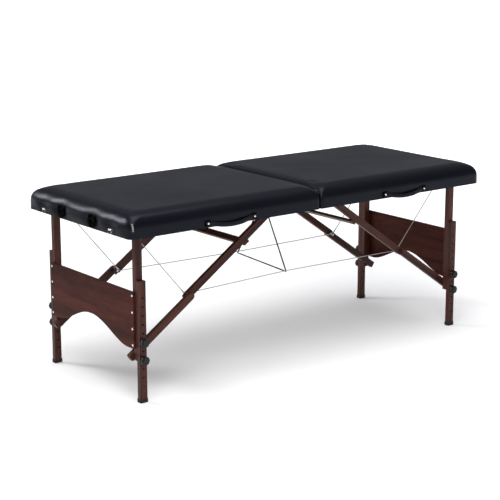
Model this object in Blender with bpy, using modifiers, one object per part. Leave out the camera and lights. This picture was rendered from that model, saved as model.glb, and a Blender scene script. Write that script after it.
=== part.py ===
# Portable massage table: two padded halves on wooden leg frames, folding in half like a case.
# Metres, +Z up, floor at Z = 0, length along X (head end at -X), carry handles on the -Y side.
import bpy
import bmesh
from math import atan2, cos, hypot, pi, radians, sin
from mathutils import Matrix, Vector

# ---- overall sizes -------------------------------------------------------------------------
HALF_LEN = 0.927          # centre line to the outer end of each padded half
HALF_WID = 0.375          # table centre to the side of the pad
TOP_Z = 0.753             # top of the pad
UNDER_Z = 0.660           # bottom edge of the rails and skirt
SEAM_GAP = 0.001          # half of the gap between the two pads
EDGE_R = 0.050            # roll of the pad's top edges
SEAM_R = 0.030            # roll along the gap between the halves
CORNER_R = 0.022          # upright corners of the pad
SHIFT_X = 0.00325         # moves the whole object so its box is centred on the origin
SHIFT_Y = 0.0078
GAP = 0.0003              # clearance between neighbours

# ---- rails, deck and skirt -----------------------------------------------------------------
SKIRT = 0.0090             # foam and vinyl outside the rails
RAIL_T = 0.0125
RAIL_CORNER = 0.028
RAIL_OUT_X = HALF_LEN - SKIRT
RAIL_OUT_Y = HALF_WID - SKIRT
RAIL_IN_X = 0.0025
DECK_IN = 0.006            # the deck stops this far inside the rails' outer faces
DECK_Z0 = 0.7260
DECK_Z1 = 0.7320

# ---- leg frames ----------------------------------------------------------------------------
LEG_X = 0.847             # leg centre line from the middle of the table
LEG_W = 0.031             # leg width along X
UPPER_T = 0.0235          # upper leg thickness along Y
LOWER_T = 0.020           # height-adjusting lower leg thickness along Y
LEG_OUT_Y = {'head': 0.330, 'foot': 0.3075}   # outer face; the foot frame nests inside the head frame
LANE = 0.0005             # gap between sliding neighbours
HINGE_X, HINGE_Z = 0.886, 0.665
UPPER_Z0, UPPER_Z1 = 0.165, 0.681
LOWER_Z0, LOWER_Z1 = 0.012, 0.483
HOLE_TOP_Z = 0.4170
HOLE_PITCH = 0.0351
HOLES = 11
HOLE_R = 0.0042
KNOB_HOLES = (5, 7)       # which of the eleven holes carry the knobs, counted from the top
KNOB_R = 0.018
KNOB_L = 0.0205
STUD_R = 0.0036
STUD_L = 0.030
TRAVEL = 2 * HOLE_PITCH
FOOT_H = 0.016

# ---- end panels ----------------------------------------------------------------------------
PANEL_T = 0.009
PANEL_Z1 = 0.438
PANEL_LOBE_Z = 0.213
PANEL_ARCH_Z = 0.289
PANEL_SIDE = 0.006        # the panel stops this far inside the legs' outer faces
SCREW_Z = (0.424, 0.358, 0.292, 0.228)

# ---- folding struts ------------------------------------------------------------------------
STRUT_W = 0.029
STRUT_T = 0.018
PIVOT_LEG = (0.847, 0.190)      # lower strut pivot on the leg, X and Z
PIVOT_TOP = (0.105, 0.703)      # upper strut pivot under the deck
UPPER_STRUT_L = 0.583           # top pivot to knee
STRUT_TAIL = 0.034              # lower strut past its leg pivot
BAR_AT = 0.250                  # cross bar along the upper strut, from its top pivot
BAR_W, BAR_T = 0.028, 0.012

# ---- centre hinge --------------------------------------------------------------------------
AXIS_Z = 0.650
BARREL_R = 0.0045
PIN_R = 0.0020

# ---- fittings ------------------------------------------------------------------------------
CABLE_R = 0.0013
ELASTIC_R = 0.0019
SOCKET_Y = 0.1135
SOCKET_Z = 0.692
SOCKET_R = 0.027
SOCKET_BORE = 0.0095
LATCH_Y = 0.244
STAY_TOP = (0.842, 0.670)     # upper ends of the cables, X and Z
ROD_R = 0.0026
EYE_R, EYE_WIRE = 0.0072, 0.0019
HANDLES = {'head': (-0.569, -0.350), 'foot': (0.358, 0.577)}
HANDLE_Z = 0.678

ENDS = (('head', -1.0), ('foot', 1.0))
SIDES = (('near', -1.0), ('far', 1.0))


def clear_scene():
    for ob in list(bpy.data.objects):
        bpy.data.objects.remove(ob, do_unlink=True)


def collection(name):
    col = bpy.data.collections.new(name)
    bpy.context.scene.collection.children.link(col)
    return col


def material(name, color, rough, metal=0.0):
    mat = bpy.data.materials.new(name)
    mat.use_nodes = True
    bsdf = mat.node_tree.nodes['Principled BSDF']
    bsdf.inputs['Base Color'].default_value = (*color, 1.0)
    bsdf.inputs['Roughness'].default_value = rough
    bsdf.inputs['Metallic'].default_value = metal
    mat.diffuse_color = (*color, 1.0)
    return mat


COLORS = {
    'vinyl': ((0.020, 0.020, 0.024), 0.42, 0.0),
    'walnut': ((0.060, 0.022, 0.015), 0.38, 0.0),
    'plywood': ((0.420, 0.290, 0.170), 0.60, 0.0),
    'steel': ((0.560, 0.560, 0.540), 0.32, 1.0),
    'chrome': ((0.800, 0.800, 0.820), 0.12, 1.0),
    'cable': ((0.480, 0.480, 0.450), 0.45, 0.6),
    'plastic': ((0.018, 0.018, 0.020), 0.40, 0.0),
    'rubber': ((0.015, 0.015, 0.016), 0.75, 0.0),
    'elastic': ((0.030, 0.030, 0.032), 0.85, 0.0),
    'strap': ((0.022, 0.022, 0.025), 0.55, 0.0),
}


def link(ob, slot, origin=(0.0, 0.0, 0.0), smooth=None):
    """Give an object its own material, put its origin on its axis and add it to the table."""
    mat = material(ob.name, *COLORS[slot])
    ob.data.materials.clear()
    ob.data.materials.append(mat)
    ob.data.transform(Matrix.Translation(-Vector(origin)))
    ob.location = (origin[0] + SHIFT_X, origin[1] + SHIFT_Y, origin[2])
    if smooth:
        ob.data.shade_smooth()
        ob.data.set_sharp_from_angle(angle=radians(smooth))
    PARTS.objects.link(ob)
    return ob


def mesh_of(build):
    """Run a bmesh recipe and return its mesh."""
    bm = bmesh.new()
    build(bm)
    me = bpy.data.meshes.new('shape')
    bm.to_mesh(me)
    bm.free()
    return me


def box_mesh(x0, x1, y0, y1, z0, z1, bevel=0.0):
    def build(bm):
        bmesh.ops.create_cube(bm, size=1.0)
        for v in bm.verts:
            v.co = Vector((x0 + (v.co.x + 0.5) * (x1 - x0), y0 + (v.co.y + 0.5) * (y1 - y0),
                           z0 + (v.co.z + 0.5) * (z1 - z0)))
        if bevel:
            bmesh.ops.bevel(bm, geom=bm.edges[:], offset=bevel, segments=1, affect='EDGES')
    return mesh_of(build)


def rod_mesh(a, b, radius, segments=16):
    """A capped round rod from point a to point b."""
    a, b = Vector(a), Vector(b)
    turn = Vector((0, 0, 1)).rotation_difference((b - a).normalized()).to_matrix().to_4x4()

    def build(bm):
        bmesh.ops.create_cone(bm, cap_ends=True, segments=segments, radius1=radius, radius2=radius,
                              depth=(b - a).length, matrix=Matrix.Translation((a + b) / 2) @ turn)
    return mesh_of(build)


def weld(me, distance=0.00002):
    bm = bmesh.new()
    bm.from_mesh(me)
    bmesh.ops.remove_doubles(bm, verts=bm.verts, dist=distance)
    bmesh.ops.recalc_face_normals(bm, faces=bm.faces)
    bm.to_mesh(me)
    bm.free()
    return me


def prism_mesh(loops, axis, lo, hi):
    """Extrude a flat outline, with any holes, between two planes across the given axis."""
    cu = bpy.data.curves.new('outline', 'CURVE')
    cu.dimensions = '2D'
    cu.fill_mode = 'BOTH'
    cu.extrude = (hi - lo) / 2
    for loop in loops:
        sp = cu.splines.new('POLY')
        sp.points.add(len(loop) - 1)
        for point, (u, v) in zip(sp.points, loop):
            point.co = (u, v, 0.0, 1.0)
        sp.use_cyclic_u = True
    ob = bpy.data.objects.new('outline', cu)
    bpy.context.scene.collection.objects.link(ob)
    dep = bpy.context.evaluated_depsgraph_get()
    me = bpy.data.meshes.new_from_object(ob.evaluated_get(dep))
    bpy.data.objects.remove(ob, do_unlink=True)
    mid = (lo + hi) / 2
    if axis == 'Y':      # outline is (x, z)
        turn = Matrix(((1, 0, 0, 0), (0, 0, -1, mid), (0, 1, 0, 0), (0, 0, 0, 1)))
    elif axis == 'X':    # outline is (y, z)
        turn = Matrix(((0, 0, 1, mid), (1, 0, 0, 0), (0, 1, 0, 0), (0, 0, 0, 1)))
    else:                # outline is (x, y)
        turn = Matrix.Translation((0, 0, mid))
    me.transform(turn)
    return weld(me)


def sweep_mesh(points, radius, resolution=2):
    """A round wire along straight runs, capped at both ends."""
    cu = bpy.data.curves.new('wire', 'CURVE')
    cu.dimensions = '3D'
    cu.bevel_depth = radius
    cu.bevel_resolution = resolution
    cu.use_fill_caps = True
    sp = cu.splines.new('POLY')
    sp.points.add(len(points) - 1)
    for point, co in zip(sp.points, points):
        point.co = (*co, 1.0)
    ob = bpy.data.objects.new('wire', cu)
    bpy.context.scene.collection.objects.link(ob)
    dep = bpy.context.evaluated_depsgraph_get()
    me = bpy.data.meshes.new_from_object(ob.evaluated_get(dep))
    bpy.data.objects.remove(ob, do_unlink=True)
    return weld(me)


def boolean(me, tools, operation):
    """Unite, cut or intersect a mesh with others and return the finished mesh."""
    ob = bpy.data.objects.new('work', me)
    bpy.context.scene.collection.objects.link(ob)
    helpers = []
    for i, tool in enumerate(tools):
        cutter = bpy.data.objects.new('cutter', tool)
        CUTTERS.objects.link(cutter)
        cutter.hide_render = True
        cutter.display_type = 'WIRE'
        helpers.append(cutter)
        mod = ob.modifiers.new('step%d' % i, 'BOOLEAN')
        mod.operation = operation
        mod.solver = 'EXACT'
        mod.object = cutter
    dep = bpy.context.evaluated_depsgraph_get()
    out = bpy.data.meshes.new_from_object(ob.evaluated_get(dep))
    for item in [ob] + helpers:
        bpy.data.objects.remove(item, do_unlink=True)
    return out


def part(name, me, slot, origin=(0.0, 0.0, 0.0), smooth=None, bevel=0.0):
    ob = bpy.data.objects.new(name, me)
    link(ob, slot, origin, smooth)
    if bevel:
        mod = ob.modifiers.new('edges', 'BEVEL')
        mod.width = bevel
        mod.segments = 1
        mod.limit_method = 'ANGLE'
        mod.angle_limit = radians(50)
    return ob


def circle(cx, cy, radius, count=12, start=0.0):
    step = 2 * pi / count
    return [(cx + radius * cos(start + i * step), cy + radius * sin(start + i * step))
            for i in range(count)]


def rounded_rect(x0, x1, y0, y1, r, steps=4, corners=(1, 1, 1, 1)):
    """Counter-clockwise outline; corners picks which of the four corners are rounded."""
    out = []
    spots = ((x1, y1, 0), (x0, y1, 90), (x0, y0, 180), (x1, y0, 270))
    for (x, y, a0), on in zip(spots, corners):
        if not on:
            out.append((x, y))
            continue
        cx = x - r if x == x1 else x + r
        cy = y - r if y == y1 else y + r
        for i in range(steps + 1):
            a = radians(a0 + 90.0 * i / steps)
            out.append((cx + r * cos(a), cy + r * sin(a)))
    return out


def strut_outline(p, q, width, tail, steps=6):
    """Bar outline from p to q; rounded about q, and square past p by tail (round if tail is 0)."""
    p, q = Vector(p), Vector(q)
    along = (q - p).normalized()
    side = Vector((-along.y, along.x)) * width / 2
    out = []
    if tail:
        chamfer = 0.004
        out += [p - along * (tail - chamfer) + side, p - along * tail + side * 0.74,
                p - along * tail - side * 0.74, p - along * (tail - chamfer) - side]
    else:
        for i in range(steps + 1):
            a = pi / 2 + pi * i / steps
            out.append(p + along * cos(a) * width / 2 + side * sin(a))
    for i in range(steps + 1):
        a = -pi / 2 + pi * i / steps
        out.append(q + along * cos(a) * width / 2 + side * sin(a))
    return [(v.x, v.y) for v in out]


def lanes(end):
    """Y distances of the leg frame's layers, from the outer face inward."""
    y = LEG_OUT_Y[end]
    lower = (y - LOWER_T, y)
    upper = (lower[0] - LANE - UPPER_T, lower[0] - LANE)
    strut_low = (upper[0] - LANE - STRUT_T, upper[0] - LANE)
    strut_up = (strut_low[0] - LANE - STRUT_T, strut_low[0] - LANE)
    return {'lower': lower, 'upper': upper, 'strut_low': strut_low, 'strut_up': strut_up}


def span(lane, side):
    """A lane's low and high Y on one side of the table."""
    return tuple(sorted((lane[0] * side, lane[1] * side)))


def knee():
    reach = hypot(PIVOT_LEG[0] - PIVOT_TOP[0], PIVOT_TOP[1] - PIVOT_LEG[1])
    t = UPPER_STRUT_L / reach
    return (PIVOT_TOP[0] + (PIVOT_LEG[0] - PIVOT_TOP[0]) * t,
            PIVOT_TOP[1] + (PIVOT_LEG[1] - PIVOT_TOP[1]) * t)


KNEE = knee()


# ---- padded halves -------------------------------------------------------------------------
def pad_profile(lo, hi, roll_lo, roll_hi, steps=5):
    """Upright section of the pad: flat bottom, rolled upper corners."""
    out = [(lo, UNDER_Z), (hi, UNDER_Z)]
    for i in range(steps + 1):
        a = radians(90.0 * i / steps)
        out.append((hi - roll_hi + roll_hi * cos(a), TOP_Z - roll_hi + roll_hi * sin(a)))
    for i in range(steps + 1):
        a = radians(90.0 + 90.0 * i / steps)
        out.append((lo + roll_lo + roll_lo * cos(a), TOP_Z - roll_lo + roll_lo * sin(a)))
    return out


def frame_outline(h, grow=0.0):
    """Plan outline of one half's rails, grown or shrunk all round."""
    x0, x1 = sorted((h * RAIL_IN_X, h * RAIL_OUT_X))
    y = RAIL_OUT_Y + grow
    return rounded_rect(x0 - grow, x1 + grow, -y, y, RAIL_CORNER + max(grow, 0.0), 4)


def cushion(end, h):
    lo, hi = sorted((h * SEAM_GAP, h * HALF_LEN))
    rolls = (EDGE_R, SEAM_R) if end == 'head' else (SEAM_R, EDGE_R)
    body = prism_mesh([pad_profile(lo, hi, *rolls)], 'Y', -HALF_WID, HALF_WID)
    across = prism_mesh([pad_profile(-HALF_WID, HALF_WID, EDGE_R, EDGE_R)], 'X', lo - 0.01, hi + 0.01)
    plan = prism_mesh([rounded_rect(lo, hi, -HALF_WID, HALF_WID, CORNER_R)], 'Z', 0.6, 0.8)
    body = boolean(body, [across, plan], 'INTERSECT')
    tools = [prism_mesh([frame_outline(h, GAP)], 'Z', UNDER_Z - 0.02, DECK_Z0),
             prism_mesh([frame_outline(h, GAP - DECK_IN)], 'Z', DECK_Z0 - 0.001, DECK_Z1 + GAP)]
    if end == 'head':
        for side in (-1, 1):
            y = side * SOCKET_Y
            tools.append(rod_mesh((-0.95, y, SOCKET_Z), (-0.90, y, SOCKET_Z), SOCKET_BORE + 0.0048, 20))
    body = boolean(body, tools, 'DIFFERENCE')
    part('cushion_' + end, body, 'vinyl', smooth=30)


def rail_frame(end, h):
    """Four rails glued into a ring, with two arms that carry the upper struts' pivot pins."""
    side_in = RAIL_OUT_Y - RAIL_T
    x0, x1 = sorted((h * RAIL_IN_X, h * RAIL_OUT_X))
    z1 = DECK_Z0 - GAP
    hollow = box_mesh(x0 + RAIL_T, x1 - RAIL_T, -side_in, side_in, UNDER_Z - 0.01, z1 + 0.01)
    cuts = [hollow]
    if end == 'head':
        cuts += [rod_mesh((-0.95, s * SOCKET_Y, SOCKET_Z), (-0.88, s * SOCKET_Y, SOCKET_Z),
                          SOCKET_BORE + 0.0048, 20) for s in (-1, 1)]
    ring = boolean(prism_mesh([frame_outline(h)], 'Z', UNDER_Z, z1), cuts, 'DIFFERENCE')
    lane = lanes(end)['strut_up']
    adds = []
    for side in (-1, 1):
        inner = lane[0] - LANE
        adds.append(box_mesh(*sorted((h * (RAIL_IN_X + RAIL_T - 0.001), h * (PIVOT_TOP[0] + 0.018))),
                             *sorted((side * (inner - 0.014), side * inner)), 0.689, z1))
        adds.append(rod_mesh((h * PIVOT_TOP[0], side * (inner - 0.006), PIVOT_TOP[1]),
                             (h * PIVOT_TOP[0], side * (lane[1] - 0.001), PIVOT_TOP[1]), 0.0040, 24))
    part('rail_frame_' + end, boolean(ring, adds, 'UNION'), 'walnut')


def deck(end, h):
    part('deck_' + end, prism_mesh([frame_outline(h, -DECK_IN)], 'Z', DECK_Z0, DECK_Z1), 'plywood')


# ---- fixed steel under each half -----------------------------------------------------------
def hinge_centres(end):
    lane = lanes(end)['upper']
    return [side * (lane[0] + lane[1]) / 2 for side in (-1, 1)]


def hinge_angle(end, h):
    """Steel strip on the inner face of the end rail: lugs for the leg frame's rod, posts for the cables."""
    face = RAIL_OUT_X - RAIL_T - GAP
    z0 = UNDER_Z + 0.0006
    strip = box_mesh(*sorted((h * (face - 0.003), h * face)), -0.325, 0.325, z0, 0.680)
    adds, bores = [], []
    for y_mid in hinge_centres(end):
        for offset in (-1, 1):
            y0, y1 = sorted((y_mid + offset * 0.0104, y_mid + offset * 0.0200))
            adds.append(rod_mesh((h * HINGE_X, y0, HINGE_Z), (h * HINGE_X, y1, HINGE_Z), BARREL_R))
            adds.append(box_mesh(*sorted((h * HINGE_X, h * (face - 0.001))), y0, y1, z0, HINGE_Z - 0.0002))
            bores.append(rod_mesh((h * HINGE_X, y0 - 0.001, HINGE_Z), (h * HINGE_X, y1 + 0.001, HINGE_Z),
                                  ROD_R + 0.00006, 20))
    for side in (-1, 1):
        y = eye_centre(end, h, side).y
        z = STAY_TOP[1] + 0.0043
        adds.append(rod_mesh((h * (face - 0.001), y, z), (h * (STAY_TOP[0] - 0.004), y, z), 0.0028, 12))
    me = boolean(boolean(strip, adds, 'UNION'), bores, 'DIFFERENCE')
    part('hinge_angle_' + end, me, 'steel')


def hinge_rod(end, h):
    """Rod the leg frame swings on, with a leaf fixed to the outer face of each upper leg."""
    rod = rod_mesh((h * HINGE_X, -0.322, HINGE_Z), (h * HINGE_X, 0.322, HINGE_Z), ROD_R, 20)
    leg_face = LEG_X + LEG_W / 2 + GAP
    adds = []
    for y_mid in hinge_centres(end):
        y0, y1 = y_mid - 0.0100, y_mid + 0.0100
        adds.append(rod_mesh((h * HINGE_X, y0, HINGE_Z), (h * HINGE_X, y1, HINGE_Z), BARREL_R))
        adds.append(box_mesh(*sorted((h * (leg_face + 0.001), h * HINGE_X)), y0, y1,
                             HINGE_Z - 0.0032, HINGE_Z + 0.0032))
        adds.append(box_mesh(*sorted((h * leg_face, h * (leg_face + 0.003))), y0, y1,
                             UNDER_Z + 0.0006, UPPER_Z1 - 0.001))
    part('hinge_rod_' + end, boolean(rod, adds, 'UNION'), 'steel', (h * HINGE_X, 0.0, HINGE_Z))


def centre_hinge(end, h):
    """Long butt hinge: outer knuckles and the pin on the head half, inner knuckles on the foot half."""
    plate_z0 = AXIS_Z + BARREL_R + 0.0010
    me = box_mesh(*sorted((h * 0.0006, h * 0.030)), -0.300, 0.300, plate_z0, UNDER_Z - GAP)
    pitch = 0.12
    adds = []
    for i in range(5):
        yc = -2 * pitch + i * pitch
        own = (i % 2 == 0) == (end == 'head')
        if not own:
            continue
        half = pitch / 2 - 0.0003
        adds.append(rod_mesh((0, yc - half, AXIS_Z), (0, yc + half, AXIS_Z), BARREL_R, 20))
        near, far = sorted((h * 0.0002, h * 0.0040))
        adds.append(box_mesh(near, far, yc - half, yc + half, AXIS_Z, plate_z0 + 0.001))
    if end == 'head':
        adds.append(rod_mesh((0, -0.299, AXIS_Z), (0, 0.299, AXIS_Z), PIN_R, 24))
    me = boolean(me, adds, 'UNION')
    if end == 'foot':
        me = boolean(me, [rod_mesh((0, -0.31, AXIS_Z), (0, 0.31, AXIS_Z), PIN_R + 0.0001, 24)], 'DIFFERENCE')
    part('centre_hinge_' + end, me, 'steel', (0.0, 0.0, AXIS_Z))


# ---- leg frames ----------------------------------------------------------------------------
def hole_z(index):
    return HOLE_TOP_Z - index * HOLE_PITCH


def upper_leg(end, h, side_name, side):
    lane = lanes(end)
    y0, y1 = span(lane['upper'], side)
    x0, x1 = sorted((h * (LEG_X - LEG_W / 2), h * (LEG_X + LEG_W / 2)))
    body = box_mesh(x0, x1, y0, y1, UPPER_Z0, UPPER_Z1, 0.0015)
    # blind groove for the two knob studs, hidden behind the lower leg
    slot_lo = hole_z(KNOB_HOLES[1]) - STUD_R - 0.0006
    slot_hi = hole_z(KNOB_HOLES[0]) + STUD_R + 0.0006 + TRAVEL
    face = side * (lane['upper'][1] + 0.001)
    depth = side * (lane['lower'][1] - STUD_L - 0.0006)
    groove = box_mesh(h * LEG_X - 0.0042, h * LEG_X + 0.0042, *sorted((face, depth)), slot_lo, slot_hi)
    body = boolean(body, [groove], 'DIFFERENCE')
    # pivot pin of the lower strut
    inner = side * lane['upper'][0]
    pin = rod_mesh((h * PIVOT_LEG[0], inner + side * 0.004, PIVOT_LEG[1]),
                   (h * PIVOT_LEG[0], side * (lane['strut_low'][0] + 0.0004), PIVOT_LEG[1]), 0.0047, 24)
    body = boolean(body, [pin], 'UNION')
    part('upper_leg_%s_%s' % (end, side_name), body, 'walnut', (h * HINGE_X, 0.0, HINGE_Z))


def end_panel(end, h):
    """Plywood panel whose lower edge rises from two lobes into a shallow arch."""
    lane = lanes(end)
    half = lane['upper'][1] - PANEL_SIDE
    lobe = 0.054
    outline = [(-half, PANEL_Z1), (-half, PANEL_LOBE_Z + 0.004), (-half + 0.004, PANEL_LOBE_Z)]
    steps = 22
    run = half - lobe
    for i in range(steps + 1):
        y = -run + 2 * run * i / steps
        k = 0.5 + 0.5 * cos(pi * abs(y) / run)
        outline.append((y, PANEL_LOBE_Z + (PANEL_ARCH_Z - PANEL_LOBE_Z) * k ** 0.80))
    outline += [(half - 0.004, PANEL_LOBE_Z), (half, PANEL_LOBE_Z + 0.004), (half, PANEL_Z1)]
    x0 = LEG_X + LEG_W / 2 + GAP
    me = prism_mesh([outline], 'X', *sorted((h * x0, h * (x0 + PANEL_T))))
    heads = []
    for side in (-1, 1):
        y = side * (half - 0.0075)
        for z in SCREW_Z:
            heads.append(rod_mesh((h * (x0 + PANEL_T - 0.002), y, z), (h * (x0 + PANEL_T + 0.0014), y, z),
                                  0.0040, 10))
    part('end_panel_' + end, boolean(me, heads, 'UNION'), 'walnut', (h * HINGE_X, 0.0, HINGE_Z))


def lower_leg(end, h, side_name, side):
    lane = lanes(end)
    y0, y1 = span(lane['lower'], side)
    x0, x1 = sorted((h * (LEG_X - LEG_W / 2), h * (LEG_X + LEG_W / 2)))
    loops = [[(x0, LOWER_Z0), (x1, LOWER_Z0), (x1, LOWER_Z1), (x0, LOWER_Z1)]]
    loops += [circle(h * LEG_X, hole_z(i), HOLE_R, 10) for i in range(HOLES)]
    me = prism_mesh(loops, 'Y', y0, y1)
    origin = (h * LEG_X, (y0 + y1) / 2, LOWER_Z0)
    part('lower_leg_%s_%s' % (end, side_name), me, 'walnut', origin)
    # rubber shoe: a block recessed to take the end of the leg, slightly domed below
    yc = (y0 + y1) / 2
    wide, deep = LEG_W / 2 + 0.0020, LOWER_T / 2 + 0.0010
    profile = [(-wide, 0.0012), (-wide + 0.004, 0.0), (wide - 0.004, 0.0), (wide, 0.0012),
               (wide, FOOT_H), (LEG_W / 2 + GAP, FOOT_H), (LEG_W / 2 + GAP, LOWER_Z0 - GAP),
               (-LEG_W / 2 - GAP, LOWER_Z0 - GAP), (-LEG_W / 2 - GAP, FOOT_H), (-wide, FOOT_H)]
    shoe = prism_mesh([[(h * LEG_X + u, v) for u, v in profile]], 'Y', yc - deep, yc + deep)
    part('foot_%s_%s' % (end, side_name), shoe, 'rubber', origin)


def knob(end, h, side_name, side, level, index):
    """Lobed hand knob with its threaded stud, outboard of the lower leg."""
    lane = lanes(end)
    z = hole_z(index)
    face = lane['lower'][1] + GAP
    points = []
    count = 32
    for i in range(count):
        a = 2 * pi * i / count
        r = KNOB_R - 0.0014 * (0.5 - 0.5 * cos(8 * a))
        points.append((h * LEG_X + r * cos(a), z + r * sin(a)))
    head = prism_mesh([points], 'Y', *sorted((side * (face + 0.0040), side * (face + KNOB_L - 0.0035))))
    cap = [(h * LEG_X + (u - h * LEG_X) * 0.80, z + (v - z) * 0.80) for u, v in points[::2]]
    collar = rod_mesh((h * LEG_X, side * face, z), (h * LEG_X, side * (face + 0.006), z), 0.0100, 16)
    crown = prism_mesh([cap], 'Y', *sorted((side * (face + KNOB_L - 0.004), side * (face + KNOB_L))))
    stud = rod_mesh((h * LEG_X, side * (lane['lower'][1] - STUD_L), z), (h * LEG_X, side * (face + 0.002), z),
                    STUD_R, 12)
    me = boolean(head, [collar, crown, stud], 'UNION')
    part('knob_%s_%s_%s' % (end, side_name, level), me, 'plastic', (h * LEG_X, side * face, z), smooth=35)


# ---- folding struts ------------------------------------------------------------------------
def upper_strut(end, h, side_name, side):
    lane = lanes(end)['strut_up']
    pivot, tip = Vector(PIVOT_TOP), Vector(KNEE)
    tip -= (tip - pivot).normalized() * 0.003
    outline = strut_outline((h * pivot.x, pivot.y), (h * tip.x, tip.y), STRUT_W, 0.0)
    holes = [circle(h * PIVOT_TOP[0], PIVOT_TOP[1], 0.0041, 24), circle(h * KNEE[0], KNEE[1], 0.0034, 16)]
    me = prism_mesh([outline] + holes, 'Y', *span(lane, side))
    part('upper_strut_%s_%s' % (end, side_name), me, 'walnut', (h * PIVOT_TOP[0], 0.0, PIVOT_TOP[1]))


def lower_strut(end, h, side_name, side):
    lane = lanes(end)['strut_low']
    pivot, tip = Vector(PIVOT_LEG), Vector(KNEE)
    tip -= (tip - pivot).normalized() * 0.002
    outline = strut_outline((h * pivot.x, pivot.y), (h * tip.x, tip.y), STRUT_W, STRUT_TAIL)
    holes = [circle(h * PIVOT_LEG[0], PIVOT_LEG[1], 0.0048, 24)]
    me = prism_mesh([outline] + holes, 'Y', *span(lane, side))
    part('lower_strut_%s_%s' % (end, side_name), me, 'walnut', (h * PIVOT_LEG[0], 0.0, PIVOT_LEG[1]))


def cross_bar(end, h):
    """Flat batten joining the two upper struts along their lower edges."""
    reach = Vector((KNEE[0] - PIVOT_TOP[0], KNEE[1] - PIVOT_TOP[1])).normalized()
    down = Vector((-reach.y, reach.x)) * -1.0
    mid = Vector(PIVOT_TOP) + reach * BAR_AT + down * (STRUT_W / 2 + BAR_T / 2 + GAP)
    outline = []
    for a, b in ((-1, -1), (1, -1), (1, 1), (-1, 1)):
        p = mid + reach * a * BAR_W / 2 + down * b * BAR_T / 2
        outline.append((h * p.x, p.y))
    half = lanes(end)['strut_up'][1]
    me = prism_mesh([outline], 'Y', -half, half)
    part('cross_bar_' + end, me, 'walnut', (h * PIVOT_TOP[0], 0.0, PIVOT_TOP[1]), bevel=0.0012)


def eye_centre(end, h, side):
    lane = lanes(end)['strut_up']
    return Vector((h * KNEE[0], side * (lane[0] - 0.0130), KNEE[1]))


def knee_eye(end, h, side_name, side):
    """Eye bolt through the knee end of an upper strut; the steel cable runs through its ring."""
    lane = lanes(end)['strut_up']
    c = eye_centre(end, h, side)
    bpy.ops.mesh.primitive_torus_add(major_segments=16, minor_segments=6, major_radius=EYE_R,
                                     minor_radius=EYE_WIRE)
    ring_ob = bpy.context.object
    ring = ring_ob.data.copy()
    bpy.data.objects.remove(ring_ob, do_unlink=True)
    ring.transform(Matrix.Translation(c) @ Matrix.Rotation(pi / 2, 4, 'Y'))
    shank = rod_mesh((c.x, side * (lane[0] - 0.0058), c.z), (c.x, side * (lane[1] - GAP), c.z), 0.0030, 12)
    washer = rod_mesh((c.x, side * (lane[0] - 0.0022), c.z), (c.x, side * (lane[0] - GAP), c.z), 0.0075, 16)
    me = boolean(shank, [washer, ring], 'UNION')
    part('knee_eye_%s_%s' % (end, side_name), me, 'steel', (h * PIVOT_TOP[0], 0.0, PIVOT_TOP[1]))


# ---- cables and cord -----------------------------------------------------------------------
def cable_route(side):
    """One cable: head anchor, head knee eye, the elastic's pull point, foot knee eye, foot anchor."""
    x_pull, lift = ((-0.055, 0.010) if side < 0 else (0.030, -0.006))
    a, b = eye_centre('head', -1, side), eye_centre('foot', 1, side)
    pull = a.lerp(b, (x_pull - a.x) / (b.x - a.x))
    pull.z += lift
    ends = [Vector((h * STAY_TOP[0], c.y, STAY_TOP[1])) for h, c in ((-1, a), (1, b))]
    return [ends[0], a, pull, b, ends[1]]


def steel_cable(side_name, side):
    part('steel_cable_' + side_name, sweep_mesh(cable_route(side), CABLE_R), 'cable', smooth=50)


def elastic_cord():
    near, far = (cable_route(side)[2] for side in (-1, 1))
    clear = CABLE_R + ELASTIC_R + GAP
    beside = Vector((0, clear + 0.0030, 0.0030))
    below = Vector((0, clear, -clear))
    flip = Vector((1, -1, 1))
    apex = Vector((0.0, 0.0, AXIS_Z - BARREL_R - ELASTIC_R - 0.0006))
    # down from the hinge, round the near cable, across to the far one and back up
    loop = [apex + Vector((-0.0024, -0.001, 0)), near + beside, near + below, far + below * flip,
            far + beside * flip, apex + Vector((0.0024, 0.001, 0))]
    part('elastic_cord', sweep_mesh(loop, ELASTIC_R), 'elastic', smooth=50)


# ---- small fittings ------------------------------------------------------------------------
def carry_handle(end, h):
    """Webbing strap on the near side, bowed outward and sagging between its two screws."""
    x0, x1 = HANDLES[end]
    face = -HALF_WID - GAP
    thick, pad = 0.0028, 0.016
    steps = 14
    outer, inner = [], []
    for i in range(steps + 1):
        x = x0 - pad + (x1 - x0 + 2 * pad) * i / steps
        t = min(max((x - x0) / (x1 - x0), 0.0), 1.0)
        bow = 0.0125 * sin(pi * t) ** 1.3 if 0.0 < t < 1.0 else 0.0
        inner.append((x, face - bow))
        outer.append((x, face - bow - thick))
    me = prism_mesh([inner + outer[::-1]], 'Z', HANDLE_Z - 0.012, HANDLE_Z + 0.012)
    for v in me.vertices:
        t = min(max((v.co.x - x0) / (x1 - x0), 0.0), 1.0)
        v.co.z -= 0.013 * sin(pi * t)
    heads = [rod_mesh((x, face - thick + 0.001, HANDLE_Z), (x, face - thick - 0.0022, HANDLE_Z), 0.0048, 14)
             for x in (x0 - 0.004, x1 + 0.004)]
    part('handle_' + end, boolean(me, heads, 'UNION'), 'strap')


LATCH_PIN = (-(HALF_LEN + GAP + 0.0042), 0.6698)


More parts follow.
